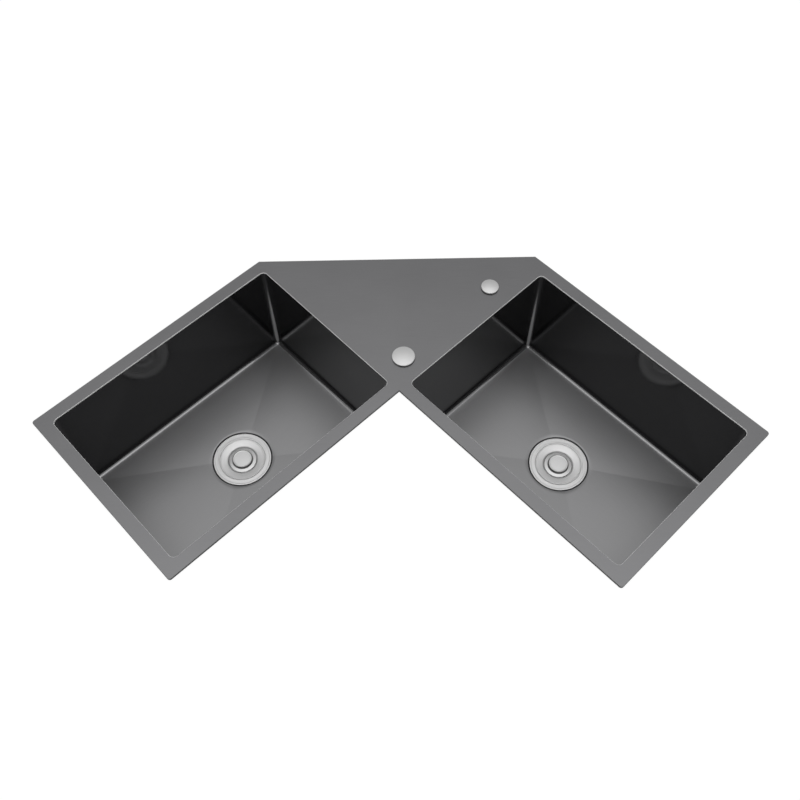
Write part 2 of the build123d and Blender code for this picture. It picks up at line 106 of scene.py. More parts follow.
# %% Writing shaders as expressions
class Wire:
    """A socket of a shader graph. Arithmetic on wires and numbers adds Math nodes."""

    def __init__(self, graph, socket):
        self.graph, self.socket = graph, socket

    def math(self, operation, *values):
        inputs = dict(enumerate((self, *values)))
        return self.graph.node("ShaderNodeMath", {"operation": operation}, inputs)

    def __add__(self, other):
        return self.math("ADD", other)

    def __sub__(self, other):
        return self.math("SUBTRACT", other)

    def __mul__(self, other):
        return self.math("MULTIPLY", other)

    def __pow__(self, other):
        return self.math("POWER", other)

    def __rsub__(self, other):
        return (self * -1) + other

    __radd__, __rmul__ = __add__, __mul__

    def step(self, low, high):
        """0 at low, 1 at high and a smooth S between them; low may be the larger."""
        settings, inputs = {"interpolation_type": "SMOOTHSTEP"}, {0: self, 1: low, 2: high}
        return self.graph.node("ShaderNodeMapRange", settings, inputs)


class Graph:
    """The node tree of a material or a world, emptied and ready for expressions."""

    def __init__(self, tree):
        self.tree = tree
        self.tree.nodes.clear()

    def node(self, kind, settings=(), inputs=(), output=0):
        """Adds a node: its settings first, then the values or links of its sockets; returns one
        output."""
        made = self.tree.nodes.new(kind)
        for key, value in dict(settings).items():
            setattr(made, key, value)
        for key, value in dict(inputs).items():
            if isinstance(value, Wire):
                self.tree.links.new(value.socket, made.inputs[key])
            else:
                made.inputs[key].default_value = value
        return Wire(self, made.outputs[output]) if made.outputs else made

    def place(self, centre=(0, 0, 0), angle=0.0, size=(1, 1, 1)):
        """Object coordinates from centre, along axes turned by angle about Z, counted in steps
        of size."""
        here = self.node("ShaderNodeTexCoord", output="Object")
        inputs = {"Vector": here, "Location": centre, "Rotation": (0, 0, angle), "Scale": size}
        return self.node("ShaderNodeMapping", {"vector_type": "TEXTURE"}, inputs)

    def noise(self, place, detail=2.0, rough=0.5):
        """Soft random values round 0.5, one hump to each step of place."""
        inputs = {"Vector": place, "Scale": 1.0, "Detail": detail, "Roughness": rough}
        return self.node("ShaderNodeTexNoise", {}, inputs)

    def part(self, vector, axis):
        """One coordinate of a vector."""
        return self.node("ShaderNodeSeparateXYZ", {}, {"Vector": vector}, axis)

    def join(self, x, y, z):
        """A vector from three coordinates."""
        return self.node("ShaderNodeCombineXYZ", {}, {0: x, 1: y, 2: z})

    def reach(self, vector):
        """The length of a vector."""
        return self.node("ShaderNodeVectorMath", {"operation": "LENGTH"}, {0: vector}, "Value")

    def from_axis(self, spot):
        """The distance from the upright axis through a spot, and the place measured from there."""
        here = self.place(centre=(*spot, 0))
        flat = self.node("ShaderNodeVectorMath", {"operation": "MULTIPLY"}, {0: here, 1: (1, 1, 0)})
        return self.reach(flat), here

    def blend(self, first, second, share):
        """The colour that lies that share of the way from the first to the second."""
        return self.node("ShaderNodeMix", {"data_type": "RGBA"}, {0: share, 6: first, 7: second}, 2)

    def tint(self, dark, light, share):
        """A blend of two fixed colours."""
        return self.blend((*dark, 1), (*light, 1), share)

    def bump(self, height, strength, depth):
        """A normal leaning as if the surface rose by depth times height."""
        inputs = {"Strength": strength, "Distance": depth, "Height": height}
        return self.node("ShaderNodeBump", {}, inputs)


def look(colour, rough, normal):
    """The three sockets that every bumpy finish varies."""
    return {"Base Color": colour, "Roughness": rough, "Normal": normal}


def finish(name, write, **fixed):
    """A material: write(graph) returns the sockets that vary, fixed holds those that don't."""
    material = bpy.data.materials.new(name)
    material.use_nodes = True
    graph = Graph(material.node_tree)
    shader = graph.node("ShaderNodeBsdfPrincipled", {}, {**fixed, **write(graph)})
    graph.node("ShaderNodeOutputMaterial", {}, {"Surface": shader})
    print("finish", name, "has", len(graph.tree.nodes), "nodes")
    return material


# %% [markdown]
# The studio is a dome of soft light that grows towards the zenith, as under a wide ceiling panel.
# Steel shows what it reflects, so this slope of light gives the deck its slope of grey. A camera
# ray sees plain white. Area lamps could light it too, but each of them would show as a shape in the
# polished walls.

# %% Dome of light
horizon, zenith = 0.5, 2.2
world = bpy.data.worlds.new("studio")
world.use_nodes = True
bpy.context.scene.world = world
sky = Graph(world.node_tree)
height = sky.part(sky.node("ShaderNodeTexCoord", output="Generated"), 2)
dome = (horizon + 2.6 * height.math("MAXIMUM", 0.0) ** 9).math("MINIMUM", zenith)
seen = sky.node("ShaderNodeLightPath", output="Is Camera Ray")
strength = seen + dome * (1 - seen)
light = sky.node("ShaderNodeBackground", {}, {"Color": (1, 1, 1, 1), "Strength": strength})
sky.node("ShaderNodeOutputWorld", {}, {"Surface": light})
print("dome:", horizon, "at the horizon,", zenith, "overhead")

# %% [markdown]
# The sink is made to hang in a worktop, so the floor of this studio is a white worktop: it lies
# against the seal and is sawn out round the two bowls. It is matt with some light of its own for
# camera, mirror and glass rays, which keeps the background white and still lets the sink's shadow
# fall on it. A floor far below would be simpler, but the deck would seem to float over it. It shows
# from above only, so that a view from below the worktop finds the bowls, the clips and the outlets.


# %% White floor at the worktop's level
def pale(name, own_light):
    """Matt white: camera, glossy and transmission rays see mostly own_light, the rest is lit."""
    material = bpy.data.materials.new(name)
    material.use_nodes = True
    graph = Graph(material.node_tree)
    camera_ray, glossy_ray, clear_ray = (
        graph.node("ShaderNodeLightPath", output=f"Is {kind} Ray")
        for kind in ("Camera", "Glossy", "Transmission")
    )
    seen = camera_ray.math("MAXIMUM", glossy_ray).math("MAXIMUM", clear_ray)
    matt = graph.node("ShaderNodeBsdfDiffuse", {}, {"Color": (0.85, 0.85, 0.85, 1)})
    glow = graph.node("ShaderNodeEmission", {}, {"Strength": own_light})
    above = graph.node("ShaderNodeMixShader", {}, {0: seen * 0.8, 1: matt, 2: glow})
    clear = graph.node("ShaderNodeBsdfTransparent")
    under = graph.node("ShaderNodeNewGeometry", output="Backfacing")
    both = graph.node("ShaderNodeMixShader", {}, {0: under, 1: above, 2: clear})
    graph.node("ShaderNodeOutputMaterial", {}, {"Surface": both})
    return material


def cells(index):
    """The four corners of every cell of a lattice of point numbers."""
    corners = (index[:-1, :-1], index[1:, :-1], index[1:, 1:], index[:-1, 1:])
    return np.stack(corners, -1).reshape(-1, 4)


def sawn_floor(reach, level, openings):
    """A lattice of the openings' edges and the floor's own, less the cells an opening covers."""
    corners = np.array(openings).reshape(-1, 3)
    lines = [np.unique(np.r_[-reach, reach, corners[:, axis]]) for axis in (0, 1)]
    x, y = np.meshgrid(*lines, indexing="ij")
    index = np.arange(x.size).reshape(x.shape)
    faces = cells(index)
    points = np.c_[x.ravel(), y.ravel(), np.full(x.size, level)]
    middle = points[faces].mean(1)[:, :2]
    cut = [((middle > low[:2]) & (middle < high[:2])).all(1) for low, high in openings]
    mesh = bpy.data.meshes.new("floor")
    mesh.from_pydata(points.tolist(), [], faces[~np.any(cut, axis=0)].tolist())
    return mesh


openings = [[tuple(corner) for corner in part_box(f"{side}_bowl")] for side in sides]
floor_reach, worktop_level = 9.0, -0.00005
floor_mesh = sawn_floor(floor_reach, worktop_level, openings)
floor_mesh.materials.append(pale("worktop_white", 1.07))
floor = bpy.data.objects.new("floor", floor_mesh)
bpy.context.scene.collection.objects.link(floor)
floor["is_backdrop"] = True
print("floor of", len(floor_mesh.polygons), "cells")

# %% [markdown]
# The deck and bowls are steel with a dark grey coating. The deck and the bowl floors are brushed
# satin; the bowl walls are polished so far that they mirror the strainer. Streaks along the
# brushing and faint clouds vary the roughness and the tone, and the height above the floor decides
# where the polish begins. A picture of steel could be wrapped on instead, but noise in the part's
# own coordinates fits any shape. The ring round each drain is painted dark, painted shade of the
# strainer's recess. The sheet's back has a finish of its own; the cut edges are painted, near white
# in the openings as a painted highlight and near black round the outside as painted shade.


# %% Dark steel
bowl_sheet, bowl_lip, floor_fall, recess_step = 0.0012, 0.004, 0.005, 0.0022
recess_shade_radius, seam_reach, seam_fade = 0.0597, 0.006, 0.0035
satin_full, satin_gone, brushed_full, brushed_gone = 0.002, 0.007, 0.0001, 0.0012


def middle(node):
    """The middle of a part's box, in plan."""
    low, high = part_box(node)
    return ((low.x + high.x) / 2, (low.y + high.y) / 2)


drains = {side: middle(f"{side}_knob") for side in sides}


def off_middle(g, node, axis):
    """The distance from the upright plane through a part's middle, and half its size across it."""
    low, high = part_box(node)
    here = g.place(centre=(*middle(node), 0))
    return g.part(here, axis).math("ABSOLUTE"), (high[axis] - low[axis]) / 2


def dark_steel(name, angle, side=None):
    """Streaks lie along angle. A side's bowl is satin at its floor and polished and darker above
    it. Its sheet waves by some tenths of a millimetre, the ring round its drain keeps the dark wall
    colour as painted shade of the strainer's recess, and its four upright corners, where both |x|
    and |y| from its middle are large, keep a light ground band that narrows upward."""

    def write(g):
        streak = g.noise(g.place(angle=angle, size=(0.05, 0.0008, 0.0008)), 2.0)
        cloud = g.noise(g.place(size=(0.14, 0.14, 0.14)), 3.0)
        share = 0.5 * streak + 0.5 * cloud
        relief = 0.0000048 * streak
        rough = 0.30 + 0.06 * streak + 0.05 * cloud
        colour = g.tint((0.140, 0.140, 0.143), (0.200, 0.200, 0.204), share)
        metal = 0.96 + 0.04 * cloud
        if side:
            height = g.part(g.place(), 2)
            # Round the drain, inside this radius, the floor keeps the dark wall colour: painted
            # shade of the strainer's recess and its gap.
            past_joint = g.from_axis(drains[side])[0].step(recess_shade_radius, recess_shade_radius + 0.0003)
            floor = height.step(floor_top + satin_gone, floor_top + satin_full) * past_joint
            seam = 1.0
            for axis in (0, 1):
                across, half = off_middle(g, f"{side}_bowl", axis)
                wall_at = half - bowl_sheet - bowl_lip
                out = across - 0.002 - 0.0038 * height.step(floor_top, 0.0)
                band = wall_at - seam_reach
                seam = out.step(band - seam_fade, band) * seam
            metal = 0.8 - 0.4 * seam
            relief = relief + 0.0004 * g.noise(g.place(size=(0.09, 0.09, 0.14)), 0.0)
            brushed = height.step(floor_top + brushed_gone, floor_top + brushed_full)
            rough = 0.09 + 0.26 * seam + brushed * (rough - 0.04)
            wall = g.tint((0.050, 0.050, 0.052), (0.062, 0.062, 0.064), share)
            satin = g.tint((0.205, 0.205, 0.208), (0.255, 0.255, 0.259), share)
            colour = g.blend(g.blend(wall, (0.55, 0.55, 0.555, 1), seam), satin, floor)
        return {**look(colour, rough, g.bump(relief, 1.0, 1.0)), "Metallic": metal}

    return finish(name, write)


def rolled_steel(g):
    """The back of a sheet, coated but never polished: lines of the rolling mill and cloudy tone."""
    line = g.noise(g.place(size=(0.0015, 0.0015, 0.06)), 2.0)
    cloud = g.noise(g.place(size=(0.09, 0.09, 0.09)), 3.0)
    colour = g.tint((0.10, 0.10, 0.104), (0.19, 0.19, 0.194), 0.4 * line + 0.6 * cloud)
    return look(colour, 0.36 + 0.16 * cloud, g.bump(line, 1.0, 0.000006))


def edge_steel(tone):
    """A cut edge rubbed smooth, its colour set by tone as painted highlight or painted shade:
    its tone and polish change every few centimetres.
    """

    def write(g):
        patch = g.noise(g.place(size=(0.03, 0.03, 0.03)), 3.0)
        colour = g.tint([tone * 0.9] * 3, [tone * 1.1] * 3, patch)
        return {"Base Color": colour, "Roughness": 0.14 + 0.08 * patch}

    return write


# Painted light on the deck's cut edges: near white with little metal in the openings as a painted
# highlight line, near black round the outside as a painted dark line of shade.
opening_edge_highlight = finish("painted_highlight_openings", edge_steel(0.80), Metallic=0.1)
outer_edge_shade = finish("painted_shade_outside", edge_steel(0.06), Metallic=1.0)
bowl_back = finish("bowl_back_steel", rolled_steel, Metallic=0.8)
floor_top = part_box("left_bowl")[0].z + bowl_sheet + recess_step + floor_fall
deck_steel = dark_steel("deck_steel", math.radians(47.2))
bowl_steel = {
    "right": dark_steel("right_bowl_steel", 0.0, "right"),
    "left": dark_steel("left_bowl_steel", math.pi / 2, "left"),
}
print("bowl floor at", round(floor_top, 4))

# %% [markdown]
# Strainers, covers and screws are bright steel turned on a lathe. The tool leaves fine rings, which
# smear a reflection outwards. The rings are noise read along the distance from each part's own
# axis. An anisotropic shader would smear reflections too, but fine relief keeps its look in an
# export. Zinc, rubber, damping pads and plastic follow, each with the patches and the grain that
# its making leaves.


# %% Turned steel, zinc, rubber and plastic
def turned_steel(name, centre, tone, rough, depth, ring=0.0006, groove=None):
    """Noise along the distance from the axis through centre, with height, gives rings of width
    ring. Between the two distances of a groove the colour is darkened as painted shade of the
    groove. Metallic 0.7 leaves it some of the even brightness of a worn surface."""

    def write(g):
        radius, here = g.from_axis(centre)
        rings = g.noise(g.join(radius * (1 / ring), g.part(here, 2) * (0.5 / ring), 0.0), 2.0)
        cloud = g.noise(g.place(size=(0.03, 0.03, 0.03)), 3.0)
        colour = g.tint([tone * 0.93] * 3, [tone * 1.05] * 3, 0.6 * rings + 0.4 * cloud)
        if groove:
            inner, outer = groove
            # Painted shade: the groove band is darkened as if in the groove's shadow.
            groove_shade = radius.step(inner, inner + 0.0007) * radius.step(outer, outer - 0.0007)
            colour = g.blend(colour, (0.12, 0.12, 0.12, 1), groove_shade)
        return look(colour, rough + 0.08 * rings + 0.06 * cloud, g.bump(rings, 1.0, depth))

    return finish(name, write, Metallic=0.7)


def zinc(g):
    """Zinc plating: flowery patches of tone and roughness a few millimetres wide."""
    patch = g.noise(g.place(size=(0.004, 0.004, 0.004)), 4.0)
    fine = g.noise(g.place(size=(0.0008, 0.0008, 0.0008)), 2.0)
    colour = g.tint((0.44, 0.45, 0.46), (0.63, 0.64, 0.64), patch)
    return look(colour, 0.24 + 0.2 * patch, g.bump(fine, 0.2, 0.00005))


def rubber(g):
    """Moulded rubber: a matt bloom in soft patches over a fine grain."""
    bloom = g.noise(g.place(size=(0.02, 0.02, 0.02)), 3.0)
    grain = g.noise(g.place(size=(0.0005, 0.0005, 0.0005)), 2.0)
    colour = g.tint((0.010, 0.010, 0.010), (0.026, 0.026, 0.027), bloom)
    return look(colour, 0.55 + 0.25 * bloom, g.bump(grain, 0.35, 0.00006))


def pad(g):
    """A damping pad pressed with a square lattice: two families of grooves 6 mm apart on every
    side."""
    per_metre = 2 * math.pi / 0.006
    waves = [g.part(g.place(angle=math.pi / 4), axis) * per_metre for axis in (0, 1)]
    upright = g.part(g.place(), 2) * per_metre
    lattice = waves[0].math("SINE") * waves[1].math("SINE") + 0.5 * upright.math("SINE")
    grain = g.noise(g.place(size=(0.0009, 0.0009, 0.0009)), 3.0)
    share = 0.4 + 0.2 * lattice + 0.3 * (grain - 0.5)
    colour = g.tint((0.05, 0.05, 0.053), (0.12, 0.12, 0.125), share)
    return look(colour, 0.6 + 0.2 * grain, g.bump(lattice + grain, 0.6, 0.0004))


def plastic(g):
    """White moulded plastic with a faint pebble and slightly yellowed patches."""
    patch = g.noise(g.place(size=(0.05, 0.05, 0.05)), 3.0)
    pebble = g.noise(g.place(size=(0.0011, 0.0011, 0.0011)), 1.0)
    colour = g.tint((0.74, 0.735, 0.71), (0.82, 0.82, 0.81), patch)
    return look(colour, 0.34 + 0.14 * patch, g.bump(pebble, 0.25, 0.00008))


zinc_steel = finish("zinc_steel", zinc, Metallic=1.0)
seal_rubber = finish("seal_rubber", rubber, **{"Specular IOR Level": 0.25})
pad_rubber = finish("pad_rubber", pad)
waste_plastic = finish("waste_plastic", plastic)
# The band that is darkened as painted shade of the knob's groove.
knob_groove = (0.0180, 0.0212)
strainer_steel = {
    side: turned_steel(
        f"{side}_strainer_steel", drains[side], 0.68, 0.42, 0.00006, groove=knob_groove
    )
    for side in sides
}
cover_steel = {
    hole: turned_steel(f"{hole}_steel", middle(f"{hole}_cap"), 0.55, 0.36, 0.00002)
    for hole in holes
}

# %% [markdown]
# Every carried part now gets its finish. They are listed by name in one table instead of being
# clicked on one by one, because pieces that stand for a part later look their finish up in the same
# table.

# %% Finishes on the carried parts
wear = {"deck_plate": deck_steel, "worktop_seal": seal_rubber}
for side in sides:
    wear[f"{side}_bowl"] = bowl_steel[side]
    wear[f"{side}_sound_pads"] = pad_rubber
    wear[f"{side}_waste_body"] = waste_plastic
    for part in ("strainer_cup", "basket", "knob", "stem", "clamp_screw"):
        wear[f"{side}_{part}"] = strainer_steel[side]
    for part in ("flange_seal", "body_seal", "stopper"):
        wear[f"{side}_{part}"] = seal_rubber
for hole in holes:
    wear[f"{hole}_cap"] = cover_steel[hole]
    wear[f"{hole}_gasket"] = seal_rubber
    wear[f"{hole}_clamp_disc"] = waste_plastic
    wear[f"{hole}_wing_nut"] = zinc_steel
wear |= {f"clip_{part}": zinc_steel for part in ("studs", "claws", "wing_nuts")}
for name, material in wear.items():
    nodes[name].data.materials.clear()
    nodes[name].data.materials.append(material)
print("finished", len(wear), "of", len(nodes), "carried parts")

# %% [markdown]
# The small parts and the bowls are built again as nets of points. A path with rounded corners is a
# section, and a section turned about an axis is a skin. Blender could round edges with modifiers
# instead, but worked out as whole arrays every skin stays a formula, and its rows lie where the
# bends are.


# %% Paths, nets and turned skins
def unit(vectors):
    """Vectors brought to length 1; a vector of no length stays as it is."""
    return vectors / np.maximum(np.linalg.norm(vectors, axis=-1, keepdims=True), 1e-12)


def rounded(corners, steps=5):
    """A path through corners (a, b, radius) in millimetres, given in metres.

    At corner C, with unit vectors U back and V on and half the angle between them h, the arc's
    centre is M = C + unit(U + V) r / sin h and its ends are C + U r / tan h and C + V r / tan h.
    From one end's radius A to the other's B it turns through w = pi - 2h:
    P(s) = M + (A sin((1 - s) w) + B sin(s w)) / sin w.
    """
    c, r = np.split(np.array(corners, float) * 0.001, [2], axis=1)
    back, on = unit(np.roll(c, 1, 0) - c), unit(np.roll(c, -1, 0) - c)
    half = np.arccos(np.clip((back * on).sum(1, keepdims=True), -0.999999, 0.999999)) / 2
    middle = c + unit(back + on) * r / np.sin(half)
    first, last = (c + way * r / np.tan(half) - middle for way in (back, on))
    s, w = np.linspace(0, 1, steps + 1)[None, :, None], (np.pi - 2 * half)[:, None]
    arcs = (first[:, None] * np.sin((1 - s) * w) + last[:, None] * np.sin(s * w)) / np.sin(w)
    path = (middle[:, None] + arcs).reshape(-1, 2)
    return path[np.r_[True, np.linalg.norm(np.diff(path, axis=0), axis=1) > 1e-7]]


def net(points, loop=False):
    """Faces between neighbours of a (rows, columns, 3) array of rings; loop joins the last row
    to the first."""
    rows, columns = points.shape[:2]
    index = np.arange(rows * columns).reshape(rows, columns)
    index = np.c_[index, index[:, :1]]
    index = np.r_[index, index[:1]] if loop else index
    corners = (index[:-1, :-1], index[:-1, 1:], index[1:, 1:], index[1:, :-1])
    return points.reshape(-1, 3), np.stack(corners, -1).reshape(-1, 4)


def turned(section, centre, count=96, loop=False, warp=None):
    """The skin of a section (r, z) about the axis through centre: (x + r cos t, y + r sin t, z)
    at count angles t. loop joins the section's ends, and warp(r, z, t) gives every point its own
    radius."""
    t = np.arange(count) * 2 * np.pi / count
    r, z = section[:, :1] + 0 * t, section[:, 1:] + 0 * t
    r = warp(r, z, t) if warp else r
    return net(np.stack([centre[0] + r * np.cos(t), centre[1] + r * np.sin(t), z], -1), loop)


def lifted(section, height):
    """A section raised by a height."""
    return section + np.array([0.0, height])


bodies = frame["record"]["behaviour"]["bodies"]
body_of = {node: body for body, carried in bodies.items() for node in carried}


def stand_in(node, mesh):
    """An object for a mesh that is shown in a node's stead, with the node's finish and body."""
    mesh.materials.append(wear[node])
    made = bpy.data.objects.new(f"{node}_skin", mesh)
    bpy.context.scene.collection.objects.link(made)
    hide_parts(node)
    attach(made, body_of[node])
    print(made.name, len(mesh.polygons), "faces")
    return made


def piece(node, nets, wall=0.0, back=None):
    """Joins nets into one mesh that stands for a node: doubles merged, faces turned outward,
    edges over 35 degrees kept sharp. An open skin keeps its first face's side up and grows a
    wall below it, whose back may have a finish of its own."""
    starts = np.cumsum([0] + [len(points) for points, _ in nets[:-1]])
    points = np.vstack([points for points, _ in nets])
    faces = np.vstack([faces + start for (_, faces), start in zip(nets, starts)])
    mesh = bpy.data.meshes.new(f"{node}_skin")
    mesh.from_pydata(points.tolist(), [], faces.tolist())
    work = bmesh.new()
    work.from_mesh(mesh)
    work.faces.ensure_lookup_table()
    work.normal_update()
    up = work.faces[0].normal.copy()
    bmesh.ops.remove_doubles(work, verts=work.verts, dist=2e-6)
    bmesh.ops.recalc_face_normals(work, faces=work.faces)
    work.faces.ensure_lookup_table()
    if wall and work.faces[0].normal.dot(up) < 0:
        bmesh.ops.reverse_faces(work, faces=work.faces)
    work.to_mesh(mesh)
    work.free()
    mesh.shade_smooth()
    mesh.set_sharp_from_angle(angle=math.radians(35))
    made = stand_in(node, mesh)
    if wall:
        thick = made.modifiers.new("wall", "SOLIDIFY")
        thick.thickness, thick.offset = wall, -1.0
        if back:
            mesh.materials.append(back)
            thick.material_offset = 1


# %% [markdown]
# Three more skins are needed: a screw's thread is a turned skin whose radius follows a saw wave
# that winds round it, a sheet round a hole runs in even rows from the hole's outline to a frame,
# and a slab is an outline with softened rims. Holes could be cut with booleans, but rows that start
# at the hole leave clean edges.


# %% Threads, pierced sheets and slabs
def thread(pitch, depth, low, high):
    """Between two heights the radius is r - depth |2 f - 1|,
    where f is the fraction of z / pitch - t / 2 pi."""

    def warp(r, z, t):
        f = (z / pitch - t / (2 * np.pi)) % 1
        return r - depth * abs(2 * f - 1) * ((z > low) & (z < high))

    return warp


screw_radius, screw_pitch, screw_depth, screw_step = 0.003, 0.001, 0.0006, 0.0002


def rungs(radius, high, low, step):
    """A straight run of a section, cut into steps for a thread."""
    z = np.linspace(high, low, math.ceil((high - low) / step) + 1)
    return np.c_[np.full(len(z), radius), z]


def studs(spots, radius, high, low, pitch):
    """Threaded studs with chamfered ends, one at each spot."""
    cap, slope = np.array([[0, high], [radius - pitch / 2, high]]), pitch / 2
    shank = rungs(radius, high - slope, low + slope, pitch / 5)
    rod = np.vstack([cap, shank, cap[::-1] * [1, 0] + [0, low]])
    winding = thread(pitch, 0.6 * pitch, low + slope, high - slope)
    return [turned(rod, spot, 20, warp=winding) for spot in spots]


def round_hole(radius):
    """q, a point on the square from -1 to 1, brought to a circle: radius q / |q|."""
    return lambda q: radius * unit(q)


def slot_hole(half_width, half_height):
    """q brought to a slot with round ends: (a sin(x pi / 2), y (b - a + a cos(x pi / 2)))."""

    def outline(q):
        x, y = q.T
        rise = half_height - half_width * (1 - np.cos(x * np.pi / 2))
        return np.c_[half_width * np.sin(x * np.pi / 2), y * rise]

    return outline


def window(hole, width, height, rows, steps):
    """Rows of points from a hole's outline to a rectangle round it, both followed by q once
    round the square: P(s) = (1 - s) hole(q) + s (width x / 2, height y / 2)."""
    side, one = np.linspace(-1, 1, steps, endpoint=False), np.ones(steps)
    q = np.vstack([np.c_[side, -one], np.c_[one, side], np.c_[-side, one], np.c_[-one, -side]])
    s = np.linspace(0, 1, rows + 1)[:, None, None]
    return (1 - s) * hole(q) + s * q * (width / 2, height / 2)


def slab(outline, half, place):
    """A plate between two copies of an outline, whose rims are drawn in towards its middle where
    they meet the flat sides; place puts (a, b, distance from the mid-plane) in space."""
    middle = outline.mean(0)
    share = np.array([0, 0.75, 0.9, 0.98, 1, 1, 0.98, 0.9, 0.75, 0])[:, None, None]
    depth = half * np.array([-1, -1, -0.96, -0.8, -0.5, 0.5, 0.8, 0.96, 1, 1])[:, None, None]
    flat = middle + share * (outline - middle)
    return net(place(flat[..., 0], flat[..., 1], depth[..., 0] + 0 * flat[..., 0]))


# %% [markdown]
# The deck is a 3 mm plate whose cut edges are rubbed round so that they don't scratch. That thin
# rounding draws a bright line where it faces the light and a dark one where it faces away, and
# painted colour on the cut edges strengthens both lines. The plate is a copy of the solid model's
# own mesh, because its outline is already right. It is merged to a few flat faces and its edges are
# bevelled. A Bevel modifier would do it too, but here only the new strips are to be shaded smooth.
# The cut edges have materials of their own: slot 1 in the bowls' openings, below the start of the
# rounding, is painted near white as a painted highlight, and slot 2 round the outside is painted
# near black as painted shade.


# %% Deck
def in_bowl(spot):
    """Whether a point lies over one of the two bowls."""
    return any(low[0] < spot[0] < high[0] and low[1] < spot[1] < high[1] for low, high in openings)


edge_round = 0.0007
work = bmesh.new()
work.from_mesh(nodes["deck_plate"].data)
bmesh.ops.remove_doubles(work, verts=work.verts, dist=2e-6)
bmesh.ops.dissolve_limit(work, angle_limit=math.radians(1), verts=work.verts, edges=work.edges)
rims = [edge for edge in work.edges if edge.calc_face_angle() > math.radians(60)]
made = bmesh.ops.bevel(work, geom=rims, offset=edge_round, segments=4, profile=0.5, affect="EDGES")
strips = set(made["faces"])
for face in work.faces:
    face.smooth = face in strips
    if abs(face.normal.z) < 0.99:
        inside = in_bowl(face.calc_center_median())
        # Opening edges get the painted highlight, outer edges the painted shade.
        face.material_index = int(face.normal.z < 0.8) if inside else 2
deck_mesh = bpy.data.meshes.new("deck_plate_skin")
work.to_mesh(deck_mesh)
work.free()
stand_in("deck_plate", deck_mesh)
deck_mesh.materials.append(opening_edge_highlight)
deck_mesh.materials.append(outer_edge_shade)

# %% [markdown]
# A bowl on the real sink is folded or pressed from 1.2 mm sheet: upright walls, a bend of 10 mm all
# round, and a floor creased from its four corners to the drain so that water runs off. Every ring
# of the net has the same points: it starts as the lip under the deck, goes down the walls, and
# closes along rays towards the drain. The rays that start in the corners are the creases, so the
# four facets stay flat.


# %% Bowls
bowl_bend, recess_radius, drain_radius, wall_belly = 0.010, 0.0588, 0.045, 0.0011


def ring_of_walls(low, high, along=30, corner=8):
    """Points once round the rectangle low..high, and the direction outward at each of them. Each
    side's points follow (1 - cos(pi s)) / 2, close together near its ends; a corner repeats its
    point while the direction turns through a right angle."""
    share = (1 - np.cos(np.linspace(0, np.pi, along)))[:, None] / 2
    turn = np.linspace(0, np.pi / 2, corner)[1:-1]
    corners = np.array([(high[0], low[1]), high, (low[0], high[1]), low])
    points, outward = [], []
    for k, start in enumerate(corners):
        end = corners[(k + 1) % 4]
        angle = np.r_[np.zeros(along), turn] + k * np.pi / 2
        points += [start + (end - start) * share, np.tile(end, (len(turn), 1))]
        outward.append(np.c_[np.cos(angle), np.sin(angle)])
    return np.vstack(points), np.vstack(outward)


def bowl(side):
    """Rings (offset from the floor's edge along the outward direction, height) down the wall,
    then rings along the rays to the drain: at distance d from it, z = floor - fall (1 - d / D),
    where D is the whole ray. Halfway up, the wall stands a belly further out, b sin(pi s)."""
    low, high = (np.array(corner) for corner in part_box(f"{side}_bowl"))
    inset = bowl_sheet + bowl_lip + bowl_bend
    edge, outward = ring_of_walls(low[:2] + inset, high[:2] - inset)
    recess = low[2] + bowl_sheet
    floor = recess + recess_step + floor_fall
    bend = np.linspace(np.pi / 2, 0, 9)
    offset = np.r_[inset, np.full(14, bowl_bend), bowl_bend * np.sin(bend)[1:]]
    bend_level = floor + bowl_bend * (1 - np.cos(bend))[1:]
    level = np.r_[high[2], np.linspace(high[2], floor + bowl_bend, 14), bend_level]
    share_up = np.clip((level - floor - bowl_bend) / (high[2] - floor - bowl_bend), 0, 1)
    offset = offset + wall_belly * np.sin(np.pi * share_up)
    walls = edge + offset[:, None, None] * outward
    walls = np.dstack([walls, np.broadcast_to(level[:, None], walls.shape[:2])])
    centre = np.array(drains[side])
    ray = edge - centre
    length = np.linalg.norm(ray, axis=1)
    share = np.linspace(1, 0, 25)[1:, None]
    distance = (recess_radius + 0.0008) * (1 - share) + length * share
    rise = floor_fall * distance / length
    step = np.array([(0.0002, 0.93), (0, 0.7), (0, 0.25), (-0.0002, 0.06), (-0.0008, 0),
                     (drain_radius - recess_radius, 0)])
    distance = np.vstack([distance, recess_radius + step[:, :1] + 0 * length])
    height = np.vstack([rise + recess_step, step[:, 1:] * (rise[-1] + recess_step)]) + recess
    spokes = centre + unit(ray) * distance[..., None]
    return net(np.vstack([walls, np.dstack([spokes, height])]))


for side in sides:
    piece(f"{side}_bowl", [bowl(side)], wall=bowl_sheet, back=bowl_back)

# %% [markdown]
# The strainer's cup is drawn from one sheet: a rolled rim that lies on the seal, a flat ring, a
# step that carries the basket, a straight cup and a bottom with six holes round the clamp screw. A
# boolean for each hole would leave ragged faces, so only the plain parts are turned, and the
# pierced bottom is six equal windows whose points meet theirs.

# %% Strainer cups
flange_top = {side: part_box(f"{side}_strainer_cup")[1].z for side in sides}


def sectors(centre, count, angle, radius, height):
    """One sector of a ring, given by its points' angle, radius and height, turned to count
    places."""
    return [net(np.stack([centre[0] + radius * np.cos(angle + turn),
                          centre[1] + radius * np.sin(angle + turn),
                          height + 0 * angle], -1))
            for turn in np.arange(count) * 2 * np.pi / count]


